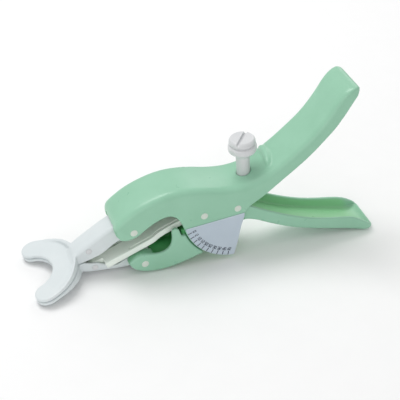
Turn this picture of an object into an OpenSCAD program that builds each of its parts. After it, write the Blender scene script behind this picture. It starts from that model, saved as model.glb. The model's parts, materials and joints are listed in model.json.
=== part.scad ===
// Hand-squeezed mouth-opening trainer: two crossed levers on one pin,
// two bite arms steered by crossed links, a scale fan and a stop screw.
// Side profiles are laid out in a device frame with its origin on the main
// pin (u toward the handles, v toward the upper jaw) and then tipped so that
// the lower lever stands on its belly and the lip of its handle.

/* [Levers] */
// outer width of the upper lever and of both jaws
body_w = 32; // [28:0.5:36]
// moulded wall of both levers
wall = 2.4; // [2:0.1:3]
// outer width of the lower handle, which nests inside the upper lever
nest_w = 26.4; // [24:0.2:27]
// height of the rounded shoulder along the top of the upper lever
shoulder = 3.8; // [2:0.2:5]

/* [Bite arms] */
// outer width of each bite arm
arm_w = 16; // [14:0.5:17]
// wall of each bite arm
arm_wall = 2; // [1.6:0.1:2.4]
// thickness of each bite plate
plate_t = 2.4; // [2:0.1:3]
// gap between the two bite plates when the jaws are closed
plate_gap = 0.5; // [0.3:0.1:2]

/* [Pivots] */
// distance from the main pin to the jaw pins, along the device
jaw_u = 68; // [66:0.5:70]
// height of the jaw pins above and below the device axis
jaw_v = 13.6; // [13:0.1:14.5]
// distance from the main pin to the front pins of the links
front_u = 98.5; // [97:0.5:100]
// height of the front link pins above and below the device axis
front_v = 7; // [6.5:0.1:7.5]
// distance from the main pin to the rear pins of the links
rear_u = 22.2; // [21:0.1:24]
// height of the rear link pins above and below the device axis
rear_v = 4.6; // [4:0.1:5]
// diameter of the main pin, the jaw pins and the rear link pins
pin_d = 4; // [3:0.5:5]
// diameter of the front link pins
front_pin_d = 3.2; // [3:0.1:4]
// running clearance on the radius of every turning pin
run = 0.05; // [0.02:0.01:0.1]
// clearance on the radius of the front link eyes
loose = 0.4; // [0.3:0.05:0.5]

/* [Scale] */
// radius of the scale fan about the main pin
fan_r = 37; // [35:0.5:38]
// thickness of the printed scale plate
label_t = 0.4; // [0.2:0.1:0.6]

/* [Stop screw] */
// diameter of the screw shank
shank_d = 9; // [8:0.5:10]
// diameter of the screw's flange
flange_d = 18.6; // [16:0.2:20]
// how far the screw stands out of the lever when backed off
screw_out = 11.5; // [8:0.5:14]

/* [Stance] */
// tilt of the device axis when it stands on its belly and handle lip
pitch = 15.2; // [12:0.1:18]

/* [Hidden] */
$fn = 64;
hw = body_w / 2;
hn = nest_w / 2;
ha = arm_w / 2;
hi = hw - wall;            // inside of the upper lever and of the jaws
hni = hn - 2.2;            // inside of the nested walls
cheek = ha + 0.6;          // half width of the slot the bite arms turn in
JU = [-jaw_u, jaw_v];
BU = [-front_u, front_v];
QU = [-rear_u, rear_v];
QL = [-rear_u, -rear_v];
pr = pin_d / 2;
fr = front_pin_d / 2;
// screw axis: foot point on the lever's saddle and lean from the v axis
screw_p = [13, 14.4];
screw_lean = 10.5;
mint = [0.62, 0.85, 0.74];
white = [0.90, 0.92, 0.94];
ivory = [0.93, 0.93, 0.88];
slate = [0.68, 0.73, 0.79];

// ---- helpers -------------------------------------------------------------
// smooth curve through hand-placed points (n steps between neighbours)
function cr(a, b, c, d, t) = 0.5 * ((2 * b) + (c - a) * t
    + (2 * a - 5 * b + 4 * c - d) * t * t + (3 * b - a - 3 * c + d) * t * t * t);
function smooth(p, n = 3) = let (m = len(p) - 1) concat(
    [for (i = [0 : m - 1]) for (k = [0 : n - 1])
        cr(p[max(i - 1, 0)], p[i], p[i + 1], p[min(i + 2, m)], k / n)],
    [p[m]]);
function arc(r, a0, a1, n, c = [0, 0]) =
    [for (k = [0 : n]) let (a = a0 + (a1 - a0) * k / n) c + r * [cos(a), sin(a)]];
function rev(p) = [for (k = [len(p) - 1 : -1 : 0]) p[k]];
function flip(p) = [for (q = rev(p)) [q[0], -q[1]]];
function unit(v) = v / norm(v);
// points moved d to the right-hand side of their direction of travel
function shifted(p, d) = [for (k = [0 : len(p) - 1])
    let (t = unit(p[min(k + 1, len(p) - 1)] - p[max(k - 1, 0)]))
        p[k] + d * [t[1], -t[0]]];
// the same, easing to nothing over the first and last points
function eased(p, d) = let (m = len(p) - 1) [for (k = [0 : m])
    let (t = unit(p[min(k + 1, m)] - p[max(k - 1, 0)]))
        p[k] + d * min(1, k / 4, (m - k) / 6) * [t[1], -t[0]]];
function drop(p) = -(p[0] * sin(pitch) + p[1] * cos(pitch));

// stands the device frame on the floor, centred front to back
module stand() translate([-mid_x, 0, lift]) rotate([0, -pitch, 0]) children();
// extrudes a side profile between two stations across the device
module across(y0, y1) rotate([90, 0, 0]) translate([0, 0, -y1])
    linear_extrude(y1 - y0, convexity = 8) children();
// round bar or bore across the device at a point of the side view
module cross_cyl(p, r, y0, y1) translate([p[0], y0, p[1]])
    rotate([-90, 0, 0]) cylinder(r = r, h = y1 - y0);

// ---- side profiles -------------------------------------------------------
// upper lever: crest from the jaw tip back to the handle end
crest = smooth([[-79, 14], [-79.2, 18], [-77.4, 21.8], [-73, 25], [-66, 28],
    [-58, 30], [-49, 31], [-41, 31], [-33, 29.8], [-25, 27.4], [-17, 24],
    [-9, 20], [-1, 16.8], [6, 15], [13, 14.4], [20, 15], [28, 17], [36, 20],
    [44, 23.6], [52, 27.6], [60, 32], [67, 37], [74, 43], [80, 48.6],
    [85, 52], [90, 53.6], [94, 53.2], [96, 51]], 2);
// underside of the handle and rear edge down to the fan corner
under = concat(smooth([[95, 49.4], [90, 44.6], [83, 37.6], [75, 30.4],
    [65.5, 24], [55, 17.6], [44, 12.2], [34, 7.8], [26, 4.2], [20, 1.6],
    [14, -0.6], [9, -2.2], [5.5, -4.6], [3, -8], [0, -13], [-3, -19.4],
    [-6, -26], [-8.8, -32]], 2), [[-9.6, -33.8], [-10.4, -34.9]]);
// fan edge, window edge and jaw lip
lip = smooth([[-37.4, 4], [-38.4, 8.6], [-40.6, 12.6], [-44, 14.8],
    [-49, 15], [-55, 13.8], [-61, 11.6], [-65, 9.9], [-69, 9], [-73, 9.1],
    [-76.4, 10.6], [-78.4, 12.8]], 2);
function upper_side(d) = concat(eased(crest, d), under,
    arc(fan_r, -108, -178, 16), lip);
// lower lever, wide jaw: pointer, post, window edge and nose
seat_r = fan_r + 0.6;
jaw_top = concat([[-37.4, -4.1], [-39.8, -4.3], [-40.4, 2.4]],
    smooth([[-42, 3.8], [-44.6, 3.4], [-45.8, 0], [-46.8, -4], [-49, -8],
    [-52.4, -9.9], [-57, -10], [-61, -8.8], [-65, -6.9], [-69, -5.8],
    [-73, -6.7], [-76.4, -8.3], [-78, -10.4]]));
jaw_belly = smooth([[-78, -10.4], [-77.2, -13.4], [-75.4, -16.2],
    [-72.6, -18.8], [-69, -21], [-64, -23.1], [-58, -24.7], [-52, -25.4],
    [-46, -25.4], [-40, -24.9], [-34, -24.2], [-30, -23.8]]);
seat = arc(seat_r, -142, -173.5, 10);
// lower lever, nested part: handle and belly
handle_top = smooth([[5, -1.6], [10, -5.6], [15, -10.2], [22, -16.4],
    [31, -23.8], [40, -30.4], [49.5, -36.4], [59, -41.2], [69, -45.6],
    [75, -48.4], [80, -52], [84, -56.4], [88, -61]]);
handle_bot = smooth([[88.2, -62.4], [86, -63.4], [82, -63], [76, -60.6],
    [68, -56.2], [57.5, -50.8], [44.5, -43.8], [34, -37.4], [26, -31.6],
    [17, -24.2], [10, -18.2], [3, -14.4], [-6, -14.6], [-16, -17.4],
    [-24, -20.6], [-30, -23.8]]);
// lowest of the belly, the handle lip and the tips of the lower bite plate
lift = max([for (p = concat(jaw_belly, handle_bot,
    [[-140.3, -plate_gap / 2 - plate_t]])) drop(p)]);
nest_side = concat(handle_top, handle_bot, arc(seat_r + 1.6, -142, -178.6, 10),
    [[-10, -0.9], [-5, 0], [0, 2]]);
// upper bite arm, closed: back of the arm from the plate to its rear end
arm_back = smooth([[-112.4, 2.4], [-110.6, 4], [-108.6, 6.4], [-106, 8.4],
    [-100, 10.9], [-92, 13.7], [-85, 16], [-79, 17.5], [-74, 18.3],
    [-69, 18.8], [-65, 18.2], [-62.4, 16.2], [-61.8, 13.2], [-62.8, 10.2],
    [-65, 8.4]]);
shallow = [[-68, 7.6], [-72, 7], [-77, 6.2], [-82, 5], [-88, 2.4],
    [-94, 0.8], [-102, 0.3], [-112.4, 0.25]];
deep = [[-68, 8.6], [-73, 9.2], [-79, 10.6], [-85, 11.9], [-89, 9.6],
    [-93, 7], [-96, 4.6], [-99, 3.4], [-102.4, 1.6], [-105, 0.4],
    [-112.4, 0.25]];

// outlines seen from above, with rounded ends
upper_plan = concat(arc(6.5, -90, 0, 8, [89.9, 6 - hw]),
    arc(6.5, 0, 90, 8, [89.9, hw - 6]), arc(5, 90, 180, 6, [-74.5, hw - 4.5]),
    arc(5, 180, 270, 6, [-74.5, 4.5 - hw]));
// the end of the lower handle flares out into a lip
lip_w = hn + 1.6;
lower_plan = concat([[75, -hn - 0.02], [79, -hn - 0.5], [82, -lip_w + 0.12]],
    arc(5, -80, 0, 6, [83.6, 5 - lip_w]), arc(5, 0, 80, 6, [83.6, lip_w - 5]),
    [[82, lip_w - 0.12], [79, hn + 0.5], [75, hn + 0.02],
        [0, hn + 0.02], [0, hw + 1]],
    arc(5, 90, 180, 6, [-73.6, hw - 4.5]), arc(5, 180, 270, 6, [-73.6, 4.5 - hw]),
    [[0, -hw - 1], [0, -hn - 0.02]]);

// ---- levers --------------------------------------------------------------
module upper_lever() color(mint) stand() intersection() {
    translate([0, 0, -70]) linear_extrude(140) polygon(upper_plan);
    upper_body();
}
module upper_body() difference() {
    union() {
        difference() {
            // four slices give the rounded shoulders of the top
            union() {
                across(-hw + 3.6, hw - 3.6) polygon(upper_side(0));
                across(-hw + 1.7, hw - 1.7) polygon(upper_side(shoulder * 0.24));
                across(-hw + 0.6, hw - 0.6) polygon(upper_side(shoulder * 0.55));
                across(-hw, hw) polygon(upper_side(shoulder));
            }
            // hollow under the crest, open along the bottom
            across(-hi, hi) intersection() {
                polygon(concat(shifted(crest, wall + 1.2), [[96, 0], [40, -60],
                    [-90, -60], [-90, 10]]));
                translate([-60.5, -60]) square([153.6, 150]);
            }
            // slot between the jaw cheeks for the bite arm
            across(-cheek, cheek) intersection() {
                polygon(concat(shifted(crest, wall + 1.2), [[96, 0], [40, -60],
                    [-90, -60], [-90, 10]]));
                translate([-76.6, -20]) square([20, 90]);
            }
            across(-cheek, cheek) translate([-90, -20]) square([15, 40.2]);
        }
        // bosses for the rear pin of the lower link
        for (s = [-1, 1]) cross_cyl(QU, 3.5, s > 0 ? hni - 0.1 : -hi - 0.1,
            s > 0 ? hi + 0.1 : -hni + 0.1);
        // seat of the screw bush
        intersection() {
            across(-hi - 0.1, hi + 0.1) polygon(concat(shifted(crest, 1),
                [[96, -20], [-79, -20]]));
            on_screw() translate([0, 0, -9]) cylinder(r = 9, h = 14);
        }
        // thumb rib behind the screw
        cross_cyl([31, 17.6], 1.7, -8, hw - 2.4);
    }
    cross_cyl([0, 0], pr, -hw - 1, hw + 1);
    cross_cyl(JU, pr, -hw - 1, hw + 1);
    cross_cyl(QU, pr, -hw - 1, hw + 1);
    on_screw() translate([0, 0, -12]) cylinder(r = shank_d / 2 + 0.4, h = 30);
    on_screw() translate([0, 0, -12]) cylinder(r = shank_d / 2 + 2, h = 10);
}

module lower_lever() color(mint) stand() intersection() {
    translate([0, 0, -80]) linear_extrude(110) polygon(lower_plan);
    lower_body();
}
module lower_body() difference() {
    union() {
        // wide jaw
        difference() {
            across(-hw, hw) polygon(concat(jaw_top, [for (k = [1 : len(jaw_belly) - 1]) jaw_belly[k]], seat));
            across(-hi, hi) intersection() {
                polygon(concat(shifted(jaw_belly, -wall), [[-20, -10], [-20, 20],
                    [-90, 20], [-90, -8]]));
                translate([-60.5, -40]) square([60, 60]);
            }
            across(-cheek, cheek) polygon(concat(shifted(jaw_belly, -wall),
                [[-50, 20], [-90, 20], [-90, -8]]));
            // open fork at the nose, where the bite arm turns
            across(-cheek, cheek) translate([-90, -30]) square([29.5, 60]);
        }
        // seat flange that joins the jaw to the nested walls
        difference() {
            across(-hw, hw) polygon(concat(arc(seat_r, -142.5, -173.5, 10),
                arc(seat_r + 2.2, -173.2, -143.4, 10)));
            across(-hni, hni) polygon(arc(seat_r + 4, -141, -190, 12)
                + [for (k = [0 : 12]) [0, 3.2]]);
        }
        // nested walls, belly and handle
        difference() {
            union() {
                across(-hn, hn) polygon(nest_side);
                across(-lip_w, lip_w) intersection() {
                    polygon(nest_side);
                    translate([75, -80]) square([20, 60]);
                }
            }
            across(-hni, hni) polygon(concat(
                shifted([for (p = handle_bot) if (p[0] > -31) p], wall),
                [[-50, -20], [-50, 20], [88, 20], [92, -58]]));
        }
        cross_cyl([0, 0], 5.2, -hn, hn);
    }
    cross_cyl([0, 0], pr + run, -hw - 1, hw + 1);
    cross_cyl([-jaw_u, -jaw_v], pr, -hw - 1, hw + 1);
    cross_cyl(QL, pr, -hw - 1, hw + 1);
}

// ---- bite arms -----------------------------------------------------------
// band of the crescent plate: half angle 0 at the root, growing to the tips
function band_c(a) = 21 + 2 * pow(a / 80, 2);
function band_w(a) = 8.5 - 0.7 * pow(a / 80, 2);
function at(a, r) = [-136 + r * cos(a), r * sin(a)];
tip_c = at(80, band_c(80));
crescent = concat(
    [for (a = [-80 : 8 : 80]) at(a, band_c(a) + band_w(a))],
    [for (k = [1 : 9]) tip_c + band_w(80) * [cos(80 + 18 * k), sin(80 + 18 * k)]],
    [for (a = [80 : -8 : -80]) at(a, band_c(a) - band_w(a))],
    [for (k = [9 : -1 : 1]) [tip_c[0], -tip_c[1]]
        + band_w(80) * [cos(80 + 18 * k), -sin(80 + 18 * k)]]);
function along(p) = p[0] * cos(pitch) - p[1] * sin(pitch);
mid_x = (max([for (p = concat(crest, handle_top, handle_bot)) along(p)])
    + along([min([for (p = crescent) p[0]]), plate_gap / 2 + plate_t])) / 2;
rim = concat(
    [for (a = [-64 : 8 : 64]) at(a, band_c(a) + band_w(a))],
    [for (a = [64 : -8 : -64]) at(a, band_c(a) + band_w(a) - 2.2)]);

module bite_arm() difference() {
    union() {
        // side walls and back
        across(-ha, -ha + arm_wall) polygon(concat(arm_back, shallow));
        across(ha - arm_wall, ha) polygon(concat(arm_back, deep));
        across(-ha, ha) polygon(concat(
            [for (p = arm_back) if (p[1] > 16.4 || p[0] < -70) p],
            rev([for (p = shifted(arm_back, arm_wall))
                if ((p[1] > 14.4 || p[0] < -70) && p[0] > -106) p]),
            [[-106.2, 0.25], [-112.4, 0.25]]));
        // plate and raised rim
        translate([0, 0, plate_gap / 2]) linear_extrude(plate_t) polygon(crescent);
        intersection() {
            translate([0, 0, plate_gap / 2]) linear_extrude(9) polygon(rim);
            across(-40, 40) polygon([[-140, 0], [-100, 0], [-100, 9], [-106.4, 8],
                [-109, 6.6], [-113, 4.9], [-118, 3.6], [-125, 2.8], [-140, 2.4]]);
        }
    }
    cross_cyl(BU, fr, -ha - 1, ha + 1);
    cross_cyl(JU, pr + run, -ha - 1, ha + 1);
    cross_cyl(BU, 3.4, -ha + arm_wall, ha - arm_wall);
}
module upper_bite_arm() color(white) stand() bite_arm();
module lower_bite_arm() color(white) stand() rotate([180, 0, 0]) bite_arm();

// ---- links ---------------------------------------------------------------
// link laid from its front eye at the origin toward its rear eye along +u
link_l = norm(BU - QL);
link_a = atan2(QL[1] - BU[1], QL[0] - BU[0]);
module link() difference() {
    union() {
        // front tongue inside the bite arm
        across(-ha + arm_wall + 0.4, ha - arm_wall - 0.4) {
            circle(r = 3.1);
            translate([0, -2.1]) square([8, 4.2]);
        }
        // broad half beside the other link, stepping in behind the crossing
        across(0.4, hi - 1.1) translate([7, -2.1]) square([35, 4.2]);
        across(0.4, hi - 2.2) translate([42, -2.1]) square([5, 4.2]);
        across(0.4, hni - 0.6) translate([47, -2.1]) square([link_l - 47, 4.2]);
        // rear eye
        across(-hni + 0.6, hni - 0.6) translate([link_l, 0]) {
            circle(r = 3.4);
            translate([-9, -2.1]) square([9, 4.2]);
        }
    }
    cross_cyl([0, 0], fr + loose, -hw, hw);
    cross_cyl([link_l, 0], pr + run, -hw, hw);
}
module upper_link() color(white) stand() translate([BU[0], 0, BU[1]])
    rotate([0, -link_a, 0]) link();
module lower_link() color(white) stand() rotate([180, 0, 0])
    translate([BU[0], 0, BU[1]]) rotate([0, -link_a, 0]) link();

// ---- pins ----------------------------------------------------------------
module pin(p, r, half, over = 0.25) color(ivory) stand()
    cross_cyl(p, r, -half - over, half + over);
module main_pin() pin([0, 0], pr, hw);
module upper_jaw_pin() pin(JU, pr, hw);
module lower_jaw_pin() pin([-jaw_u, -jaw_v], pr, hw);
module upper_link_front_pin() pin(BU, fr, ha);
module lower_link_front_pin() pin([-front_u, -front_v], fr, ha);
module upper_link_rear_pin() pin(QL, pr, hn, 0);
module lower_link_rear_pin() pin(QU, pr, hw);

// ---- stop screw ----------------------------------------------------------
module on_screw() translate([screw_p[0], 0, screw_p[1]])
    rotate([0, screw_lean, 0]) children();
module stop_screw() color(white) stand() on_screw() difference() {
    rotate_extrude($fn = 72) polygon([[0, -9], [shank_d / 2, -9],
        [shank_d / 2, screw_out], [shank_d / 2 + 0.8, screw_out + 1.2],
        [flange_d / 2 - 1.6, screw_out + 5.2], [flange_d / 2, screw_out + 6.6],
        [flange_d / 2, screw_out + 8.8], [flange_d / 2 - 0.8, screw_out + 9.6],
        [flange_d / 2 - 1.7, screw_out + 9.6], [flange_d / 2 - 1.7, screw_out + 10.6],
        [flange_d / 2 - 1.1, screw_out + 10.6], [flange_d / 2 - 1.5, screw_out + 13.6],
        [flange_d / 2 - 2.2, screw_out + 14.2], [0, screw_out + 14.2]]);
    // coin slot
    rotate([0, 0, 52]) translate([-10, -1, screw_out + 12.4]) cube([20, 2, 3]);
    // socket of the swivel foot
    translate([0, 0, -10]) cylinder(r = 1.5 + run, h = 5);
}
module screw_foot() color(slate) stand() on_screw() {
    translate([0, 0, -11]) cylinder(r = 4.2, h = 1.9);
    translate([0, 0, -9.2]) cylinder(r = 1.5, h = 3.9);
}
module screw_bush() color(ivory) stand() on_screw() difference() {
    translate([0, 0, -9]) cylinder(r = shank_d / 2 + 2, h = 7);
    translate([0, 0, -10]) cylinder(r = shank_d / 2 + run, h = 9);
}

// ---- printed scales ------------------------------------------------------
edge_pts = [[3, -8.4], [0, -13.4], [-3, -19.8], [-6, -26.4], [-9, -32.2]];
label_side = concat([[-36.2, 0.4], [3.4, -5.2]],
    [for (p = edge_pts) p + [-0.5, 0]], [[-10.6, -34.4]],
    arc(fan_r - 0.6, -109, -178, 16));
module scale_label(s) color(slate) stand()
    across(s > 0 ? hw : -hw - label_t, s > 0 ? hw + label_t : -hw)
        polygon(label_side);
module near_scale() scale_label(-1);
module far_scale() scale_label(1);

upper_lever();
lower_lever();
upper_bite_arm();
lower_bite_arm();
upper_link();
lower_link();
main_pin();
upper_jaw_pin();
lower_jaw_pin();
upper_link_front_pin();
lower_link_front_pin();
upper_link_rear_pin();
lower_link_rear_pin();
stop_screw();
screw_foot();
screw_bush();
near_scale();
far_scale();
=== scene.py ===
import json
import math

import bmesh
import bpy
import numpy as np
from mathutils import Matrix, Vector


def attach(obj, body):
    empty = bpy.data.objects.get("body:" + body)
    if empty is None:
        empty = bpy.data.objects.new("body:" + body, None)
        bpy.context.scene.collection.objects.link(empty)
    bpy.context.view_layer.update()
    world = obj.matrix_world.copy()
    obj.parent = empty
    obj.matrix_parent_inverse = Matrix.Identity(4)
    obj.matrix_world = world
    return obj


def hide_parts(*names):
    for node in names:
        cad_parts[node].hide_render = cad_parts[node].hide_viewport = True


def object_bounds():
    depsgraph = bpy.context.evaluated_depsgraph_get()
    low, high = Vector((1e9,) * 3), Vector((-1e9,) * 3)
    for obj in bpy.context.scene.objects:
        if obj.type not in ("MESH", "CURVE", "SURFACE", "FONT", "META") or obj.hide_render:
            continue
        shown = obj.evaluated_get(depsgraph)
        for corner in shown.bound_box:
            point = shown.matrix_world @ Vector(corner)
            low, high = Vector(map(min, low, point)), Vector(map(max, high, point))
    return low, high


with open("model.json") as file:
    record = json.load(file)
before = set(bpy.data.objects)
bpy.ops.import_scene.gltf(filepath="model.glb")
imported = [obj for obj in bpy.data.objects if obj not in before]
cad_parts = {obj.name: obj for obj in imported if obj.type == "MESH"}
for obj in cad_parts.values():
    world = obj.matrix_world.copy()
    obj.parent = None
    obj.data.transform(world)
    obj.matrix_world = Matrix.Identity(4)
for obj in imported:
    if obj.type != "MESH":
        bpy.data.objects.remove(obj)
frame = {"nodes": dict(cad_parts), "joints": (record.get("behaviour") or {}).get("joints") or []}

CAD_LO, CAD_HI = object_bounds()
scene = bpy.context.scene

# ---------------------------------------------------------------- frame ----
# Pieces are built in millimetres in the device frame (u to the handles,
# y across, v to the upper jaw, origin on the main pin) and then placed.
JOINTS = {j["name"]: j for j in frame["joints"]}
ORIGIN = Vector(JOINTS["main_fold"]["pos_m"])
TO_JAW = Vector(JOINTS["upper_arm_pivot"]["pos_m"]) - ORIGIN
TILT = math.atan2(TO_JAW.z, TO_JAW.x) - math.atan2(13.6, -68.0)
PLACE = (Matrix.Translation(ORIGIN) @ Matrix.Rotation(-TILT, 4, "Y")
         @ Matrix.Scale(0.001, 4))

HW, HN, HA = 16.0, 13.2, 8.0
HI, HNI, CHEEK = 13.6, 11.0, 8.6
JAW = (68.0, 13.6)
FRONT = (98.5, 7.0)
REAR = (22.2, 4.6)
FAN_R = 37.0
SEAT_R = 37.6
SCREW_AT, SCREW_LEAN = (13.0, 14.4), 10.5
SCREW_OUT = 11.5


# -------------------------------------------------------------- outlines ----
def smooth(points, n=6):
    p = [np.array(q, float) for q in points]
    m, out = len(p) - 1, []
    for i in range(m):
        a, b, c, d = p[max(i - 1, 0)], p[i], p[i + 1], p[min(i + 2, m)]
        for k in range(n):
            t = k / n
            out.append(0.5 * (2 * b + (c - a) * t + (2 * a - 5 * b + 4 * c - d) * t * t
                              + (3 * b - a - 3 * c + d) * t ** 3))
    out.append(p[m])
    return np.array(out)


def arc(r, a0, a1, n, c=(0.0, 0.0)):
    a = np.radians(np.linspace(a0, a1, n + 1))
    return np.stack([c[0] + r * np.cos(a), c[1] + r * np.sin(a)], 1)


def join(*parts):
    return np.concatenate([np.array(p, float).reshape(-1, 2) for p in parts])


def side_dir(p):
    """Unit vector to the right-hand side of the direction of travel."""
    t = np.empty_like(p)
    t[1:-1] = p[2:] - p[:-2]
    t[0], t[-1] = p[1] - p[0], p[-1] - p[-2]
    t /= np.linalg.norm(t, axis=1)[:, None]
    return np.stack([t[:, 1], -t[:, 0]], 1)


def shifted(p, d):
    return p + d * side_dir(p)


def eased(p, d, head=24, tail=36):
    k = np.arange(len(p))
    w = np.minimum(1, np.minimum(k / head, (len(p) - 1 - k) / tail))
    w = w * w * (3 - 2 * w)
    return p + (d * w)[:, None] * side_dir(p)


CREST = smooth([[-79, 14], [-79.2, 18], [-77.4, 21.8], [-73, 25], [-66, 28],
                [-58, 30], [-49, 31], [-41, 31], [-33, 29.8], [-25, 27.4],
                [-17, 24], [-9, 20], [-1, 16.8], [6, 15], [13, 14.4], [20, 15],
                [28, 17], [36, 20], [44, 23.6], [52, 27.6], [60, 32], [67, 37],
                [74, 43], [80, 48.6], [85, 52], [90, 53.6], [94, 53.2], [96, 51]])
UNDER = join(smooth([[95, 49.4], [90, 44.6], [83, 37.6], [75, 30.4], [65.5, 24],
                     [55, 17.6], [44, 12.2], [34, 7.8], [26, 4.2], [20, 1.6],
                     [14, -0.6], [9, -2.2], [5.5, -4.6], [3, -8], [0, -13],
                     [-3, -19.4], [-6, -26], [-8.8, -32]], 4),
             [[-9.6, -33.8], [-10.4, -34.9]])
LIP = smooth([[-37.4, 4], [-38.4, 8.6], [-40.6, 12.6], [-44, 14.8], [-49, 15],
              [-55, 13.8], [-61, 11.6], [-65, 9.9], [-69, 9], [-73, 9.1],
              [-76.4, 10.6], [-78.4, 12.8]], 4)
JAW_TOP = join([[-37.4, -4.1], [-39.8, -4.3], [-40.4, 2.4]],
               smooth([[-42, 3.8], [-44.6, 3.4], [-45.8, 0], [-46.8, -4],
                       [-49, -8], [-52.4, -9.9], [-57, -10], [-61, -8.8],
                       [-65, -6.9], [-69, -5.8], [-73, -6.7], [-76.4, -8.3],
                       [-78, -10.4]], 4))
BELLY = smooth([[-78, -10.4], [-77.2, -13.4], [-75.4, -16.2], [-72.6, -18.8],
                [-69, -21], [-64, -23.1], [-58, -24.7], [-52, -25.4],
                [-46, -25.4], [-40, -24.9], [-34, -24.2], [-30, -23.8]])
HANDLE_TOP = smooth([[5, -1.6], [10, -5.6], [15, -10.2], [22, -16.4], [31, -23.8],
                     [40, -30.4], [49.5, -36.4], [59, -41.2], [69, -45.6],
                     [75, -48.5], [79.6, -52], [83.4, -55.8], [86.4, -59], [88, -61.2]], 4)
HANDLE_BOT = smooth([[88.2, -62.4], [86, -63.4], [82, -63], [76, -60.6],
                     [68, -56.2], [57.5, -50.8], [44.5, -43.8], [34, -37.4],
                     [26, -31.6], [17, -24.2], [10, -18.2], [3, -14.4],
                     [-6, -14.6], [-16, -17.4], [-24, -20.6], [-30, -23.8]])
ARM_BACK = smooth([[-112.4, 2.4], [-110.6, 4], [-108.6, 6.4], [-106, 8.4],
                   [-100, 10.9], [-92, 13.7], [-85, 16], [-79, 17.5],
                   [-74, 18.3], [-69, 18.8], [-65, 18.2], [-62.4, 16.2],
                   [-61.8, 13.2], [-62.8, 10.2], [-65, 8.4]])
SHALLOW = smooth([[-68, 7.6], [-72, 7], [-77, 6.2], [-82, 5], [-88, 2.4],
                  [-94, 0.8], [-102, 0.3], [-112.4, 0.25]], 4)
DEEP = smooth([[-68, 8.6], [-73, 9.2], [-79, 10.6], [-85, 11.9], [-89, 9.6],
               [-93, 7], [-96, 4.6], [-99, 3.4], [-102.4, 1.6], [-105, 0.4],
               [-112.4, 0.25]], 4)


# --------------------------------------------------------------- solids ----
def new_object(name, mesh):
    o = bpy.data.objects.new(name, mesh)
    scene.collection.objects.link(o)
    return o


def from_bmesh(bm, name="piece"):
    bmesh.ops.recalc_face_normals(bm, faces=bm.faces)
    me = bpy.data.meshes.new(name)
    bm.to_mesh(me)
    bm.free()
    return new_object(name, me)


def loft(rings, name="loft"):
    """A closed solid through rings of points, all with the same count."""
    bm = bmesh.new()
    vs = [[bm.verts.new(p) for p in ring] for ring in rings]
    n = len(vs[0])
    for a, b in zip(vs, vs[1:]):
        for i in range(n):
            bm.faces.new((a[i], a[(i + 1) % n], b[(i + 1) % n], b[i]))
    for ring in (vs[0], vs[-1]):
        f = bm.faces.new(ring)
        f.normal_update()
        bmesh.ops.triangulate(bm, faces=[f])
    return from_bmesh(bm, name)


def prism(profile, y0, y1):
    """A side outline (u, v) carried across from y0 to y1."""
    return loft([[(u, y, v) for u, v in profile] for y in (y0, y1)], "prism")


def plan(outline, v0, v1):
    """A plan outline (u, y) carried up from v0 to v1."""
    return loft([[(u, y, v) for u, y in outline] for v in (v0, v1)], "plan")


def block(u0, u1, y0, y1, v0, v1):
    return prism([[u0, v0], [u1, v0], [u1, v1], [u0, v1]], y0, y1)


def bar(c, r, y0, y1, n=48):
    """A round bar across the device."""
    return prism(arc(r, 0, 360, n, c)[:-1], y0, y1)


def turned(profile, at, lean, n=96, name="turned"):
    """A profile (radius, height) turned about the screw's axis."""
    rings = []
    for r, h in profile:
        rings.append([(max(r, 1e-3) * math.cos(2 * math.pi * k / n),
                       max(r, 1e-3) * math.sin(2 * math.pi * k / n), h)
                      for k in range(n)])
    o = loft(rings, name)
    o.data.transform(Matrix.Translation((at[0], 0, at[1]))
                     @ Matrix.Rotation(math.radians(lean), 4, "Y"))
    return o


def settle(o):
    """Replaces an object's mesh by what its modifiers make of it."""
    dg = bpy.context.evaluated_depsgraph_get()
    me = bpy.data.meshes.new_from_object(o.evaluated_get(dg))
    o.modifiers.clear()
    o.data = me
    return o


def combine(a, b, op):
    m = a.modifiers.new("b", "BOOLEAN")
    m.operation, m.object, m.solver = op, b, "MANIFOLD"
    settle(a)
    bpy.data.objects.remove(b)
    return a


def cut(a, *tools):
    for t in tools:
        combine(a, t, "DIFFERENCE")
    return a


def add(a, *tools):
    for t in tools:
        combine(a, t, "UNION")
    return a


def keep(a, *tools):
    for t in tools:
        combine(a, t, "INTERSECT")
    return a


def mould(o, voxel, rounds, factor=0.5):
    """Even mesh with the softened edges of a moulding."""
    m = o.modifiers.new("r", "REMESH")
    m.mode, m.voxel_size, m.use_smooth_shade = "VOXEL", voxel, True
    s = o.modifiers.new("s", "SMOOTH")
    s.factor, s.iterations = factor, rounds
    settle(o)
    for p in o.data.polygons:
        p.use_smooth = True
    return o


def coords(o):
    co = np.empty(len(o.data.vertices) * 3, np.float32)
    o.data.vertices.foreach_get("co", co)
    return co.reshape(-1, 3).astype(float)


def set_coords(o, co):
    o.data.vertices.foreach_set("co", co.astype(np.float32).ravel())
    o.data.update()


def mark(o, name, values):
    a = o.data.attributes.new(name, "FLOAT", "POINT")
    a.data.foreach_set("value", np.asarray(values, np.float32))


def finish_piece(o, name, body, material, stands_for=()):
    o.name = name
    o.data.name = name
    o.data.transform(PLACE)
    o.data.materials.clear()
    o.data.materials.append(material)
    for p in o.data.polygons:
        p.material_index = 0
    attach(o, body)
    if stands_for:
        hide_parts(*stands_for)
    return o


def turn_half(o):
    """The same piece turned half a turn about the device's long axis."""
    o.data.transform(Matrix.Rotation(math.pi, 4, "X"))
    return o


# ------------------------------------------------------------ materials ----
def nodes_of(name):
    m = bpy.data.materials.new(name)
    m.use_nodes = True
    nt = m.node_tree
    b = nt.nodes["Principled BSDF"]
    return m, nt, b


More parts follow.
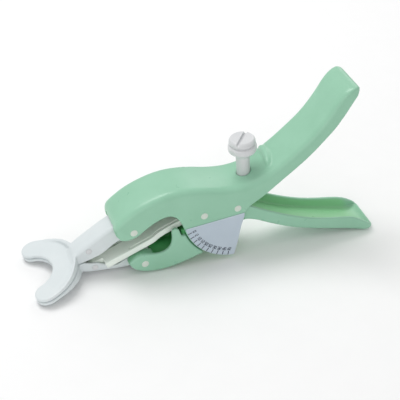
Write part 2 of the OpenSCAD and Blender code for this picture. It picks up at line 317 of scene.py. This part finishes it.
def mix(nt, fac, a, b):
    n = nt.nodes.new("ShaderNodeMix")
    n.data_type = "RGBA"
    for key, val in ((0, fac), (6, a), (7, b)):
        if hasattr(val, "is_output"):
            nt.links.new(val, n.inputs[key])
        elif key == 0:
            n.inputs[0].default_value = val
        else:
            n.inputs[key].default_value = (*val, 1)
    return n.outputs[2]


def noise(nt, scale, detail=3.0, rough=0.5, where=None):
    n = nt.nodes.new("ShaderNodeTexNoise")
    n.inputs["Scale"].default_value = scale
    n.inputs["Detail"].default_value = detail
    n.inputs["Roughness"].default_value = rough
    nt.links.new(where, n.inputs["Vector"])
    return n.outputs["Fac"]


def ranged(nt, value, a, b, c, d):
    n = nt.nodes.new("ShaderNodeMapRange")
    n.inputs[1].default_value, n.inputs[2].default_value = a, b
    n.inputs[3].default_value, n.inputs[4].default_value = c, d
    nt.links.new(value, n.inputs[0])
    return n.outputs[0]


def plastic(name, light, dark, rough=(0.3, 0.42), inner=None, edge_highlight=None,
            grain=0.02, trough=None):
    """Injection-moulded plastic: cloudy colour, faint flow marks, a fine skin
    texture, optional painted shade tints in hollows and a painted edge highlight."""
    m, nt, b = nodes_of(name)
    where = nt.nodes.new("ShaderNodeTexCoord").outputs["Object"]
    cloud = noise(nt, 38.0, 4.0, 0.55, where)
    colour = mix(nt, ranged(nt, cloud, 0.3, 0.7, 0.0, 1.0), dark, light)
    # Painted shade: where the 'inner' attribute is set, the colour turns towards a deeper tint
    # standing for shade in hollows.
    if inner is not None:
        at = nt.nodes.new("ShaderNodeAttribute")
        at.attribute_name = "inner"
        colour = mix(nt, at.outputs["Fac"], colour, inner)
    # Painted shade: the 'trough' attribute blends in a tint for the shaded inside of the lower
    # handle's trough.
    if trough is not None:
        at = nt.nodes.new("ShaderNodeAttribute")
        at.attribute_name = "trough"
        colour = mix(nt, at.outputs["Fac"], colour, trough)
    # Painted highlight: convex edges, found by pointiness, are lightened to stand for the pale
    # sheen along rounded edges.
    if edge_highlight is not None:
        geo = nt.nodes.new("ShaderNodeNewGeometry")
        edge = ranged(nt, geo.outputs["Pointiness"], 0.56, 0.66, 0.0, 0.55)
        colour = mix(nt, edge, colour, edge_highlight)
    nt.links.new(colour, b.inputs["Base Color"])
    fine = noise(nt, 900.0, 2.0, 0.6, where)
    broad = noise(nt, 120.0, 3.0, 0.5, where)
    nt.links.new(ranged(nt, broad, 0.3, 0.7, rough[0], rough[1]), b.inputs["Roughness"])
    bump = nt.nodes.new("ShaderNodeBump")
    bump.inputs["Strength"].default_value = grain * 4
    bump.inputs["Distance"].default_value = 0.0002
    nt.links.new(fine, bump.inputs["Height"])
    wave = nt.nodes.new("ShaderNodeBump")
    wave.inputs["Strength"].default_value = 0.05
    wave.inputs["Distance"].default_value = 0.0006
    nt.links.new(broad, wave.inputs["Height"])
    nt.links.new(bump.outputs[0], wave.inputs["Normal"])
    nt.links.new(wave.outputs[0], b.inputs["Normal"])
    b.inputs["IOR"].default_value = 1.49
    return m


def linear(r, g, b):
    return tuple(x / 12.92 if x <= 0.04045 else ((x + 0.055) / 1.055) ** 2.4
                 for x in (r / 255, g / 255, b / 255))


# Mint: the inner and trough colours are painted shade for the hollows, and the lighter edge colour
# is a painted highlight on convex edges.
MINT = plastic("mint_plastic", linear(151, 200, 173), linear(144, 194, 166),
               rough=(0.27, 0.36), inner=linear(66, 158, 88),
               edge_highlight=linear(174, 222, 198), trough=linear(146, 205, 157),
               grain=0.008)
# White arms: the inner colour is painted shade, a darker, greener tint inside the arm's channel;
# the lighter edge colour is a painted highlight on convex edges.
WHITE = plastic("white_plastic", linear(218, 225, 226), linear(211, 219, 221),
                rough=(0.34, 0.44), inner=linear(212, 222, 212),
                edge_highlight=linear(228, 233, 236))
# Link bars and screw: the lighter edge colour is a painted highlight on convex edges.
BAR = plastic("link_plastic", linear(234, 242, 234), linear(226, 236, 227),
              rough=(0.34, 0.44), edge_highlight=linear(240, 245, 242))
SCREW = plastic("screw_plastic", linear(216, 217, 218), linear(207, 209, 211),
                rough=(0.3, 0.42), edge_highlight=linear(230, 231, 232))
IVORY = plastic("pin_plastic", linear(216, 224, 214), linear(204, 214, 203),
                rough=(0.35, 0.5), grain=0.03)
GREY = plastic("foot_plastic", linear(150, 156, 164), linear(132, 138, 146),
               rough=(0.4, 0.55), grain=0.04)
FILM = plastic("scale_film", linear(190, 202, 213), linear(182, 195, 207),
               rough=(0.4, 0.5), grain=0.015)
INK = plastic("scale_ink", linear(34, 42, 66), linear(20, 28, 50),
              rough=(0.45, 0.6), grain=0.03)
EDGE = plastic("scale_border", linear(206, 218, 226), linear(198, 212, 220),
               rough=(0.4, 0.5))


# ---------------------------------------------------------- upper lever ----
def half_width(u):
    """Half width of the upper lever seen from above, with rounded ends."""
    w = np.full_like(u, HW)
    k = u > 89.9
    w[k] = np.minimum(HW, 10 + np.sqrt(np.maximum(42.25 - (u[k] - 89.9) ** 2, 0.01)))
    k = u < -74.5
    w[k] = np.minimum(HW, 11.5 + np.sqrt(np.maximum(25 - (u[k] + 74.5) ** 2, 0.01)))
    return w


def upper_shell():
    rings = []
    ease = [0.0] + list(np.linspace(8, 90, 9))
    stations = [(y, 0.0) for y in (0.0, 4.0, 8.0)]
    stations += [(HW - 4.4 + 4.4 * math.sin(math.radians(a)),
                  3.8 * (1 - math.cos(math.radians(a)))) for a in ease]
    stations = [(-y, d) for y, d in reversed(stations[1:])] + stations
    for y, d in stations:
        crown = 0.5 * (y / HW) ** 2
        p = join(eased(CREST, d + crown * (1 if d == 0 else 1)), UNDER,
                 arc(FAN_R, -108, -178, 40), LIP)
        w = half_width(p[:, 0])
        rings.append([(u, y * k / HW, v) for (u, v), k in zip(p, w)])
    shell = loft(rings, "upper_shell")
    inner = shifted(CREST, 3.6)
    hollow = keep(prism(join(inner, [[96, 0], [40, -60], [-90, -60], [-90, 10]]),
                        -HI, HI), block(-60.5, 93.1, -20, 20, -60, 90))
    slot = keep(prism(join(inner, [[96, 0], [40, -60], [-90, -60], [-90, 10]]),
                      -CHEEK, CHEEK), block(-76.6, -56.6, -20, 20, -20, 70))
    mouth = block(-90, -75, -CHEEK, CHEEK, -20, 19.2)
    cut(shell, hollow, slot, mouth)
    for s in (-1, 1):
        add(shell, bar((-REAR[0], REAR[1]), 3.5, min(s * 10.9, s * 13.7),
                       max(s * 10.9, s * 13.7)))
    seat = keep(turned([(9, -9), (9, 5)], SCREW_AT, SCREW_LEAN),
                prism(join(shifted(CREST, 1), [[96, -20], [-79, -20]]), -13.7, 13.7))
    add(shell, seat)
    # thumb rib behind the screw, fading at both ends
    rib = []
    for k in range(33):
        t = -1 + 2 * k / 32
        y = 2.6 + 11.4 * t
        r = 2.7 * max(0.02, 1 - abs(t) ** 4) ** 0.5
        u0 = float(np.interp(y, [-9, -4, 0.5, 4.5, 9.5, 14], [27.8, 29.4, 30.6, 31.3, 31.4, 30.4]))
        v0 = float(np.interp(u0, [20, 28, 36], [15.0, 17.2, 20.0])) - 0.4 - 0.5 * (y / HW) ** 2
        rib.append([(u0 + r * math.cos(a), y, v0 + r * math.sin(a))
                    for a in np.linspace(0, 2 * math.pi, 24, endpoint=False)])
    add(shell, loft(rib, "rib"))
    cut(shell, turned([(4.6, -12), (4.6, 18)], SCREW_AT, SCREW_LEAN),
        turned([(6.5, -12), (6.5, -2)], SCREW_AT, SCREW_LEAN))
    mould(shell, 0.62, 9)
    # Painted shade mask: 'inner' is high on the hollow's inside faces below the crest, and weaker
    # in the jaw, so that they are tinted darker and greener.
    co = coords(shell)
    u, y, v = co.T
    crest_v = np.interp(u, CREST[12:, 0], CREST[12:, 1])
    deep = np.clip((HI + 0.9 - np.abs(y)) / 0.9, 0, 1) * np.clip((crest_v - v - 2.6) / 1.2, 0, 1)
    mark(shell, "inner", np.where(u < -61, deep * 0.4, deep))
    return shell


# ---------------------------------------------------------- lower lever ----
def lower_shell():
    def ringed(profile_at, half, r, s, drop=0.0):
        stations = [(0.0, 0.0), (half * 0.5, 0.0)]
        stations += [(half - r + r * math.sin(math.radians(a)),
                      s * (1 - math.cos(math.radians(a)))) for a in np.linspace(0, 90, 7)]
        stations = [(-y, d) for y, d in reversed(stations[1:])] + stations
        return [[(u, y, v) for u, v in profile_at(d)] for y, d in stations]

    def nose_width(rings):
        out = []
        for ring in rings:
            row = []
            for u, y, v in ring:
                k = 1.0
                if u < -73.6:
                    k = (11.5 + math.sqrt(max(25 - (u + 73.6) ** 2, 0.01))) / HW
                row.append((u, y * min(k, 1.0), v))
            out.append(row)
        return out

    def jaw(d):
        return join(JAW_TOP, eased(BELLY, -d, 6, 30)[1:], arc(SEAT_R, -142, -173.5, 24)[:-1])

    shell = loft(nose_width(ringed(jaw, HW, 3.0, 2.4)), "lower_shell")
    belly_in = shifted(BELLY, -2.4)
    hollow = keep(prism(join(belly_in, [[-20, -10], [-20, 20], [-90, 20], [-90, -8]]),
                        -HI, HI), block(-60.5, -0.5, -20, 20, -40, 20))
    fork = prism(join(belly_in, [[-50, 20], [-90, 20], [-90, -8]]), -CHEEK, CHEEK)
    nose = block(-90, -60.5, -CHEEK, CHEEK, -30, 30)
    cut(shell, hollow, fork, nose)
    flange = prism(join(arc(SEAT_R, -142.5, -173.5, 24), arc(SEAT_R + 2.2, -173.2, -143.4, 24)),
                   -HW, HW)
    cut(flange, prism(arc(SEAT_R + 4, -141, -190, 12) + np.array([0, 3.2]), -HNI, HNI))
    add(shell, flange)

    def nest(d):
        bot = eased(HANDLE_BOT, d, 10, 24)
        return join(HANDLE_TOP, bot, arc(SEAT_R + 1.6, -142, -178.6, 24),
                    [[-10, -0.9], [-5, 0], [0, 2]])

    def flare(u):
        """Half width of the handle's outside; its end spreads into a lip."""
        t = min(max((u - 75) / 8.5, 0), 1)
        w = HN + 1.55 * t * t * (3 - 2 * t)
        if u > 83.6:
            w -= 5 - math.sqrt(max(25 - (u - 83.6) ** 2, 0.01))
        return w

    nested = loft([[(u, y * flare(u) / HN, v) for u, y, v in ring]
                   for ring in ringed(nest, HN, 2.6, 2.2)], "nested")
    floor_in = shifted(HANDLE_BOT[HANDLE_BOT[:, 0] > -31], 2.4)
    trough = join(floor_in, [[-50, -20], [-50, 20], [88, 20], [92, -58]])
    side = smooth([[70, HNI], [75, HNI], [79, HNI + 0.4], [83, HNI + 1.25],
                   [87, HNI + 1.4], [96, HNI + 1.4]], 4)
    cut(nested, prism(trough, -HNI, HNI),
        keep(prism(trough, -20, 20), plan(join(side, (side * [1, -1])[::-1]), -80, -20)))
    add(nested, bar((0, 0), 5.2, -HN, HN))
    add(shell, nested)
    mould(shell, 0.62, 8)
    # Painted shade masks: 'trough' covers the inside of the handle's trough; 'inner' covers the
    # hollow jaw and, faintly, the front of the trough.
    co = coords(shell)
    u, y, v = co.T
    top_v = np.interp(u, HANDLE_TOP[:, 0], HANDLE_TOP[:, 1])
    inside = np.clip((HNI + 1.0 - np.abs(y)) / 0.9, 0, 1)
    below = np.clip((top_v - v + 0.2) / 2.0, 0, 1)
    order = np.argsort(HANDLE_BOT[:, 0])
    bot_v = np.interp(u, HANDLE_BOT[order, 0], HANDLE_BOT[order, 1])
    above = np.clip((v - bot_v - 1.2) / 0.8, 0, 1)
    handle = inside * below * above * np.clip((88 - u) / 12, 0, 1)
    mark(shell, "trough", np.where(u > 3, handle, 0.0))
    handle *= np.clip((60 - u) / 56, 0, 1) * 0.45
    jaw_in = np.clip((HI + 0.9 - np.abs(y)) / 0.9, 0, 1)
    mark(shell, "inner", np.where(u > 3, handle, jaw_in * np.where(u > -61, 1.0, 0.3)))
    return shell


# ------------------------------------------------------------- bite arm ----
def crescent(inset, a_end=80.0, n=60):
    """Outline (u, y) of the bite plate, drawn in by inset."""
    def band(a):
        q = (a / 80.0) ** 2
        return 21 + 2 * q, 8.5 - 0.7 * q
    angles = np.linspace(-a_end, a_end, n + 1)
    out = []
    for a in angles:
        c, w = band(a)
        r = c + w - inset
        out.append((-136 + r * math.cos(math.radians(a)), r * math.sin(math.radians(a))))
    c, w = band(a_end)
    tip = (-136 + c * math.cos(math.radians(a_end)), c * math.sin(math.radians(a_end)))
    for k in range(1, 16):
        a = math.radians(80 + 180 * k / 16)
        out.append((tip[0] + (w - inset) * math.cos(a), tip[1] + (w - inset) * math.sin(a)))
    for a in angles[::-1]:
        c, w = band(a)
        r = c - w + inset
        out.append((-136 + r * math.cos(math.radians(a)), r * math.sin(math.radians(a))))
    for k in range(15, 0, -1):
        a = math.radians(80 + 180 * k / 16)
        out.append((tip[0] + (w - inset) * math.cos(a), -tip[1] - (w - inset) * math.sin(a)))
    return out


def bite_arm():
    def outline(d):
        back = eased(ARM_BACK, d, 12, 8)
        return join(back, SHALLOW)
    stations = [(0.0, 0.0), (3.5, 0.0)]
    stations += [(HA - 2.4 + 2.4 * math.sin(math.radians(a)),
                  2.0 * (1 - math.cos(math.radians(a)))) for a in np.linspace(0, 90, 7)]
    stations = [(-y, d) for y, d in reversed(stations[1:])] + stations
    arm = loft([[(u, y, v) for u, v in outline(d + 0.3 * (y / HA) ** 2)]
                for y, d in stations], "arm")
    inside = shifted(ARM_BACK, 2.0)
    k = (inside[:, 0] > -106) & ((inside[:, 1] > 14.4) | (inside[:, 0] < -70))
    channel = prism(join(inside[k], [[-52, 14.4], [-52, -6], [-106.2, -6]]), -6.0, 6.0)
    deep = prism(join(DEEP, [[-112.4, -6], [-66.6, -6], [-66.6, 8.2]]), 5.9, 9.0)
    cut(arm, channel, deep)
    # plate with rounded edges
    r = 0.8
    rings = []
    for a in (0, 30, 60, 90):
        rings.append((r * (1 - math.sin(math.radians(a))),
                      0.25 + r * (1 - math.cos(math.radians(a)))))
    rings += [(i, 2.9 - v) for i, v in reversed(rings)]
    plate = loft([[(u, y, v) for u, y in crescent(i)] for i, v in rings], "plate")
    add(arm, plate)
    # raised rim round the outer edge, highest where the arm joins
    rim = loft([[(u, y, v) for u, y in rim_outline()] for v in (0.6, 9.2)], "rim")
    rim_top = smooth([[-140, 2.4], [-125, 2.8], [-118, 3.6], [-113, 4.9], [-109, 6.6],
                      [-106.4, 8], [-100, 9]], 6)
    keep(rim, prism(join([[-140, 0.2]], [[-100, 0.2]], rim_top[::-1]), -40, 40))
    add(arm, rim)
    cut(arm, bar((-FRONT[0], FRONT[1]), 1.6, -10, 10), bar((-JAW[0], JAW[1]), 2.05, -10, 10),
        bar((-FRONT[0], FRONT[1]), 3.4, -6.0, 6.0))
    mould(arm, 0.46, 9)
    # Painted shade mask: 'inner' covers the inside of the arm's channel, where the white is tinted
    # darker and greener.
    co = coords(arm)
    u, y, v = co.T
    order = np.argsort(ARM_BACK[:88, 0])
    back_v = np.interp(u, ARM_BACK[:88][order, 0], ARM_BACK[:88][order, 1])
    deepness = np.clip((6.8 - np.abs(y)) / 0.8, 0, 1) * np.clip((back_v - v - 1.6) / 0.8, 0, 1)
    mark(arm, "inner", np.where(u > -106.5, deepness, 0.0))
    return arm


def rim_outline(a_end=64.0, n=48):
    angles = np.linspace(-a_end, a_end, n + 1)
    def at(a, r):
        return (-136 + r * math.cos(math.radians(a)), r * math.sin(math.radians(a)))
    def outer(a):
        q = (a / 80.0) ** 2
        return 29.5 + 1.3 * q
    return [at(a, outer(a)) for a in angles] + [at(a, outer(a) - 2.2) for a in angles[::-1]]


# ----------------------------------------------------------------- link ----
LINK_L = math.hypot(FRONT[0] - REAR[0], FRONT[1] + REAR[1])
LINK_A = math.atan2(-REAR[1] - FRONT[1], FRONT[0] - REAR[0])


def link():
    tongue = add(bar((0, 0), 3.1, -5.6, 5.6), block(0, 8, -5.6, 5.6, -2.1, 2.1))
    # plan of the broad half, stepping in behind the crossing in an S
    edge = smooth([[7, 12.5], [20, 12.5], [34, 12.5], [39, 12.4], [42, 12.0], [45, 11.0],
                   [48, 10.5], [54, 10.4], [60, 10.4], [LINK_L - 4, 10.4]], 6)
    broad = plan(join([[7, 0.4]], edge, [[LINK_L - 4, 0.4]]), -2.1, 2.1)
    rear = add(bar((LINK_L, 0), 3.4, -10.4, 10.4),
               block(LINK_L - 9, LINK_L, -10.4, 10.4, -2.1, 2.1))
    body = add(tongue, broad, rear)
    # sunk line along the outer edge, on both faces
    line = edge[8:-2] - np.array([0, 1.9])
    groove = join(line, (line - np.array([0, 1.0]))[::-1])
    for v0, v1 in ((0.9, 3.0), (-3.0, -0.9)):
        cut(body, plan(groove, v0, v1))
    cut(body, bar((0, 0), 2.0, -20, 20), bar((LINK_L, 0), 2.05, -20, 20))
    mould(body, 0.36, 3)
    body.data.transform(Matrix.Translation((-FRONT[0], 0, FRONT[1]))
                        @ Matrix.Rotation(-LINK_A, 4, "Y"))
    co = coords(body)
    mark(body, "inner", np.zeros(len(co)))
    return body


# ----------------------------------------------------------- pins, screw ----
def pin(c, r, half, proud, head):
    """A pin whose ends are low domes with a rounded rim."""
    rings = []
    steps = [(0.02, proud), (0.35, proud * 0.97), (0.65, proud * 0.85), (0.85, proud * 0.6),
             (0.96, proud * 0.3), (1.0, 0.02)]
    for f, h in steps:
        rings.append((f * head, half + h))
    rings += [(head, half - 0.02)] + ([(r, half - 0.02)] if head > r else [])
    rings = [(a, b) for a, b in rings] + [(a, -b) for a, b in reversed(rings)]
    n = 40
    o = loft([[(c[0] + a * math.cos(2 * math.pi * k / n), b,
                c[1] + a * math.sin(2 * math.pi * k / n)) for k in range(n)]
              for a, b in rings], "pin")
    for p in o.data.polygons:
        p.use_smooth = True
    o.data.set_sharp_from_angle(angle=math.radians(50))
    return o


def stop_screw():
    s, fr = SCREW_OUT, 9.3
    prof = [(0.01, -9), (4.2, -9), (4.5, -8.7), (4.5, s + 0.4), (5.0, s + 1.8),
            (6.0, s + 3.0), (fr - 1.6, s + 4.1), (fr - 0.4, s + 4.9), (fr, s + 5.7), (fr, s + 8.4),
            (fr - 0.3, s + 9.1), (fr - 0.9, s + 9.6), (fr - 1.7, s + 9.6),
            (fr - 1.75, s + 10.5), (fr - 0.9, s + 10.6), (fr - 0.6, s + 11.3),
            (fr - 0.9, s + 13.0), (fr - 1.8, s + 14.0), (fr - 3.0, s + 14.2), (0.01, s + 14.2)]
    o = turned(prof, (0, 0), 0.0)
    slot = block(-10, 10, -1.0, 1.0, s + 12.3, s + 16)
    slot.data.transform(Matrix.Rotation(math.radians(52), 4, "Z"))
    cut(o, slot, turned([(1.55, -10), (1.55, -5)], (0, 0), 0.0, 32))
    mould(o, 0.3, 3)
    o.data.transform(Matrix.Translation((SCREW_AT[0], 0, SCREW_AT[1]))
                     @ Matrix.Rotation(math.radians(SCREW_LEAN), 4, "Y"))
    return o


# ---------------------------------------------------------------- scale ----
def scale_plate(side):
    """The printed plate, with a fine bevel all round."""
    edge = smooth([[3, -8.4], [0, -13.4], [-3, -19.8], [-6, -26.4], [-9, -32.2]], 4)
    outline = join([[-36.2, 0.4], [3.4, -5.2]], edge - np.array([0.5, 0]), [[-10.6, -34.4]],
                   arc(FAN_R - 0.6, -109, -178, 40))
    c = outline.mean(0)
    y0, y1 = side * HW, side * (HW + 0.4)
    inner = c + (outline - c) * 0.992
    o = loft([[(u, y0 - side * 0.02, v) for u, v in outline],
              [(u, y1 - side * 0.14, v) for u, v in outline],
              [(u, y1, v) for u, v in inner]], "scale")
    return o


def flat_print(shapes, side, y, thick=0.05):
    """Thin printed marks on the scale, each a small closed prism."""
    bm = bmesh.new()
    for pts in shapes:
        a = [bm.verts.new((u, y, v)) for u, v in pts]
        b = [bm.verts.new((u, y + side * thick, v)) for u, v in pts]
        bm.faces.new(a)
        bm.faces.new(b[::-1])
        n = len(pts)
        for i in range(n):
            bm.faces.new((a[i], b[i], b[(i + 1) % n], a[(i + 1) % n]))
    return from_bmesh(bm, "print")


# strokes of the digits on a 3 x 5 grid
DIGITS = {
    "0": [[(0, 0), (2, 0), (2, 4), (0, 4), (0, 0)]], "1": [[(1, 0), (1, 4)]],
    "2": [[(0, 4), (2, 4), (2, 2), (0, 2), (0, 0), (2, 0)]],
    "3": [[(0, 4), (2, 4), (2, 0), (0, 0)], [(0, 2), (2, 2)]],
    "4": [[(0, 4), (0, 2), (2, 2)], [(2, 4), (2, 0)]],
    "5": [[(2, 4), (0, 4), (0, 2), (2, 2), (2, 0), (0, 0)]],
}


def stroke(p, q, w):
    p, q = np.array(p, float), np.array(q, float)
    d = (q - p) / np.linalg.norm(q - p)
    n = np.array([-d[1], d[0]]) * w / 2
    p, q = p - d * w / 2, q + d * w / 2
    return [tuple(p + n), tuple(q + n), tuple(q - n), tuple(p - n)]


def marks(side):
    ticks, y = [], side * (HW + 0.4)
    for i in range(10):
        a = math.radians(-173.5 + 6.57 * i)
        e = np.array([math.cos(a), math.sin(a)])
        ticks.append(stroke(e * 33.5, e * 35.9, 0.55))
        label = str(5 * i)
        # digits stand upright to a reader who faces this side
        out = e
        across = np.array([-out[1], out[0]]) * (1 if side < 0 else -1)
        step = 0.46
        width = (len(label) * 2 + (len(label) - 1) * 1.1) * step
        for k, ch in enumerate(label):
            for line in DIGITS[ch]:
                pts = []
                for gx, gy in line:
                    x = -width / 2 + (k * 3.1 + gx) * step
                    pts.append(e * (30.5 + gy * step * 1.1) + across * x)
                for p, q in zip(pts, pts[1:]):
                    ticks.append(stroke(p, q, 0.36))
    return flat_print(ticks, side, y - side * 0.02, 0.05)


def border(side):
    """Pale line along the scale's top and its arc."""
    y = side * (HW + 0.4)
    shapes = [stroke((-35.6, 0.1), (2.8, -5.4), 0.5)]
    arc_pts = arc(FAN_R - 0.85, -109.6, -177, 30)
    for p, q in zip(arc_pts, arc_pts[1:]):
        shapes.append(stroke(p, q, 0.26))
    return flat_print(shapes, side, y - side * 0.03, 0.045)


# ---------------------------------------------------------------- build ----
finish_piece(upper_shell(), "upper_lever_shell", "upper", MINT, ["upper_lever"])
finish_piece(lower_shell(), "lower_lever_shell", "lower", MINT, ["lower_lever"])

arm = bite_arm()
twin = new_object("twin", arm.data.copy())
finish_piece(arm, "upper_arm_moulding", "upper_arm", WHITE, ["upper_bite_arm"])
finish_piece(turn_half(twin), "lower_arm_moulding", "lower_arm", WHITE,
             ["lower_bite_arm"])

bar_link = link()
twin = new_object("twin", bar_link.data.copy())
finish_piece(bar_link, "upper_link_bar", "upper_link", BAR, ["upper_link"])
finish_piece(turn_half(twin), "lower_link_bar", "lower_link", BAR,
             ["lower_link"])

PINS = [("main_pin", "upper", (0, 0), 2.0, HW, 2.35),
        ("upper_jaw_pin", "upper", (-JAW[0], JAW[1]), 2.0, HW, 2.35),
        ("lower_jaw_pin", "lower", (-JAW[0], -JAW[1]), 2.0, HW, 2.35),
        ("lower_link_rear_pin", "upper", (-REAR[0], REAR[1]), 2.0, HW, 2.35),
        ("upper_link_rear_pin", "lower", (-REAR[0], -REAR[1]), 2.0, HN - 0.3, 2.0),
        ("upper_link_front_pin", "upper_arm", (-FRONT[0], FRONT[1]), 1.6, HA, 2.0),
        ("lower_link_front_pin", "lower_arm", (-FRONT[0], -FRONT[1]), 1.6, HA, 2.0)]
for node, body, c, r, half, head in PINS:
    finish_piece(pin(c, r, half, 0.38, head), node + "_domed", body,
                 SCREW if "front" in node else IVORY, [node])

finish_piece(stop_screw(), "stop_screw_turned", "screw", SCREW, ["stop_screw"])

for side, label in ((-1, "near"), (1, "far")):
    finish_piece(scale_plate(side), label + "_scale_plate", "upper", FILM,
                 [label + "_scale"])
    finish_piece(marks(side), label + "_scale_marks", "upper", INK)
    finish_piece(border(side), label + "_scale_border", "upper", EDGE)

for node, material in (("screw_bush", IVORY), ("screw_foot", GREY)):
    o = frame["nodes"][node]
    o.data.materials.clear()
    o.data.materials.append(material)

# ---------------------------------------------------------------- stage ----
floor_mesh = bpy.data.meshes.new("floor")
S = 6.0
floor_mesh.from_pydata([(-S, -S, 0), (S, -S, 0), (S, S, 0), (-S, S, 0)], [], [(0, 1, 2, 3)])
floor = new_object("floor", floor_mesh)
floor.location.z = -0.0004
fm, nt, b = nodes_of("floor_paper")
where = nt.nodes.new("ShaderNodeTexCoord").outputs["Object"]
paper = noise(nt, 60.0, 3.0, 0.5, where)
nt.links.new(mix(nt, paper, (0.925, 0.925, 0.925), (0.945, 0.945, 0.945)), b.inputs["Base Color"])
b.inputs["Roughness"].default_value = 0.9
b.inputs["Specular IOR Level"].default_value = 0.1
floor.data.materials.append(fm)

world = bpy.data.worlds.new("studio")
scene.world = world
world.use_nodes = True
bg = world.node_tree.nodes["Background"]
bg.inputs[0].default_value = (1.0, 1.0, 1.0, 1)
bg.inputs[1].default_value = 0.64

CENTRE = (CAD_LO + CAD_HI) / 2


def softbox(name, place, size, power, aim=CENTRE):
    light = bpy.data.lights.new(name, "AREA")
    light.shape, light.size, light.energy = "DISK", size, power
    o = bpy.data.objects.new(name, light)
    scene.collection.objects.link(o)
    o.location = CENTRE + Vector(place)
    o.rotation_euler = (Vector(aim) - o.location).to_track_quat("-Z", "Y").to_euler()
    return o


softbox("key", (-0.25, 0.35, 0.9), 0.6, 4.4)
softbox("fill", (-0.6, -0.9, 0.3), 0.9, 2.1)
softbox("back", (0.6, 0.7, 0.6), 0.6, 1.2)

# --------------------------------------------------------------- camera ----
TURN = Matrix.Rotation(-TILT, 3, "Y")
back = (TURN @ Vector((-0.10783, -0.77189, 0.62654))).normalized()
right = TURN @ Vector((0.9205, -0.3156, -0.23039))
right = (right - back * right.dot(back)).normalized()
up = back.cross(right)
cam_data = bpy.data.cameras.new("camera")
cam = bpy.data.objects.new("camera", cam_data)
scene.collection.objects.link(cam)
cam.matrix_world = Matrix.Translation(PLACE @ Vector((-94.532, -536.044, 440.575))) @ Matrix(
    (right, up, back)).transposed().to_4x4()
cam_data.sensor_width = 36.0
cam_data.lens = 1071.0 / 400 * 36
cam_data.clip_start, cam_data.clip_end = 0.01, 50
scene.camera = cam
scene.view_settings.view_transform = "Standard"
